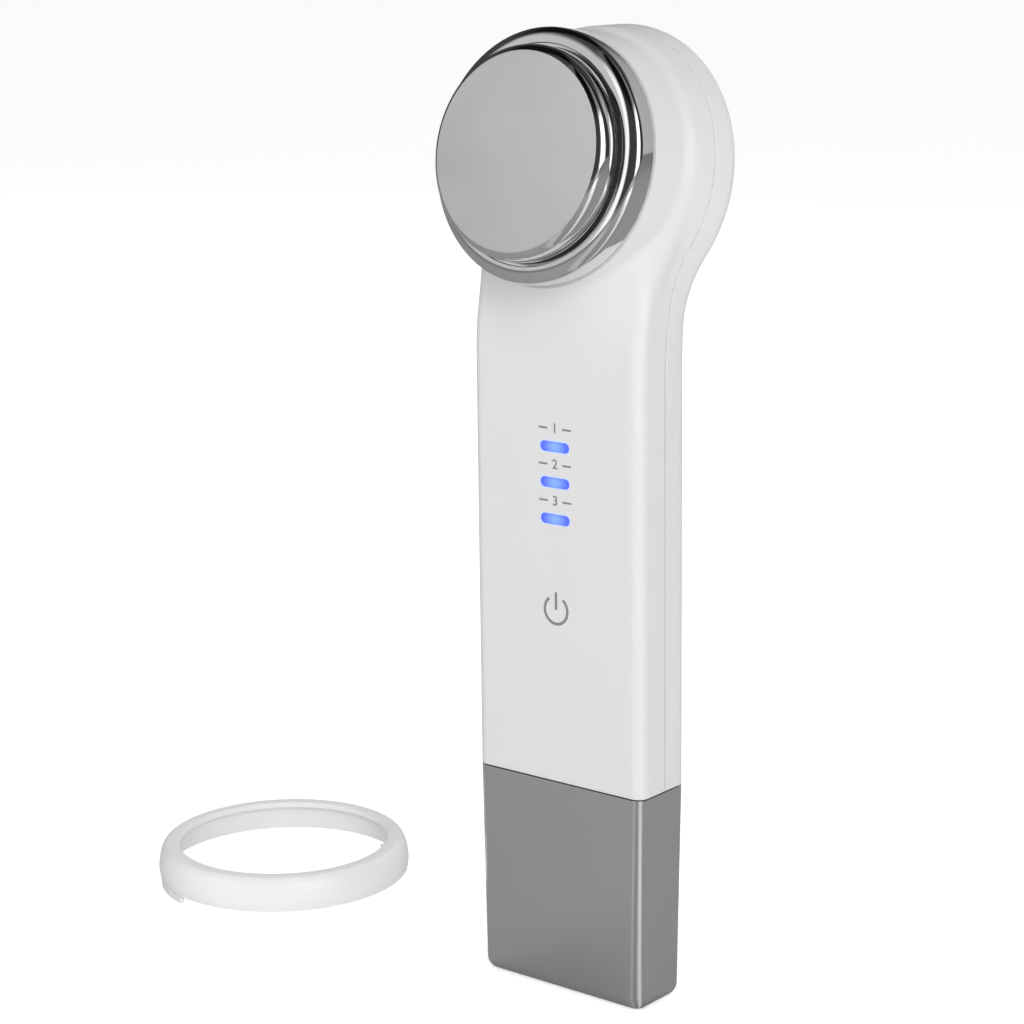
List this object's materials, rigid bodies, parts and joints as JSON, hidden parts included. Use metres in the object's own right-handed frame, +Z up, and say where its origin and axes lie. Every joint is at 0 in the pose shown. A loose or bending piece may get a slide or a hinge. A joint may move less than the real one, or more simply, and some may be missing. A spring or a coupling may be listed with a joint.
{
  "type": "facial massager",
  "caption": "Hand-held facial massager: slim white handle on a grey metal base cap, tilted round head with a stepped chrome probe, blue indicator lights, separate cotton-pad ring beside it.",
  "frame": {"origin": "centre of the base cap's flat underside, on which the massager stands", "axes": "+Z up along the handle, the probe faces -Y and leans up by 11.4 degrees, +X to the right seen from the front"},
  "size_m": [0.1371, 0.0538, 0.1801],
  "materials": {
    "white_satin": "satin moulded ABS, lightly polished",
    "white_ring": "satin moulded plastic",
    "grey_metal": "grey plated metal, satin with a fine grain",
    "chrome": "bright chrome plate, contact disc finely satined",
    "black_rubber": "moulded rubber",
    "inner_plastic": "plain moulded plastic",
    "spring_steel": "spring strip",
    "steel": "bright steel",
    "tungsten": "sintered heavy metal",
    "light_lens": "clear plastic lit blue, with a milky edge",
    "led": "moulded lamp body",
    "board_green": "glass fibre board with solder mask",
    "chip_black": "moulded chip bodies",
    "battery_foil": "foil pouch",
    "foam": "closed-cell foam",
    "lead_red": "insulated lead"
  },
  "bodies": {
    "massager": {"front_shell": "white_satin", "back_shell": "white_satin", "base_cap": "grey_metal", "seam_gasket": "black_rubber", "probe_seal": "black_rubber", "probe_bezel": "chrome", "probe_cup": "chrome", "probe_insulator": "inner_plastic", "light_baffle": "inner_plastic", "battery_tray": "inner_plastic", "probe_clip": "spring_steel", "cap_contact": "spring_steel", "bezel_screws": "steel", "shell_screws": "steel", "motor_can": "steel", "motor_cradle": "black_rubber", "lens_top": "light_lens", "lens_middle": "light_lens", "lens_bottom": "light_lens", "status_leds": "led", "touch_pad": "black_rubber", "main_board": "board_green", "socket_board": "board_green", "board_chips": "chip_black", "battery_cell": "battery_foil", "battery_foam": "foam", "usb_socket": "steel", "battery_leads": "lead_red", "motor_leads": "lead_red", "probe_lead": "lead_red"},
    "rotor": {"motor_shaft": "steel", "eccentric_weight": "tungsten"},
    "ring": {"cotton_ring": "white_ring"}
  },
  "joints": [
    {"name": "motor_spin", "type": "hinge", "parent": "massager", "child": "rotor", "pos_m": [0, 0.00497, 0.16071], "axis": [1, 0, 0], "continuous": true},
    {"name": "ring_lift", "type": "slide", "parent": "massager", "child": "ring", "axis": [0, 0, 1], "range_m": [0, 0.1]}
  ]
}
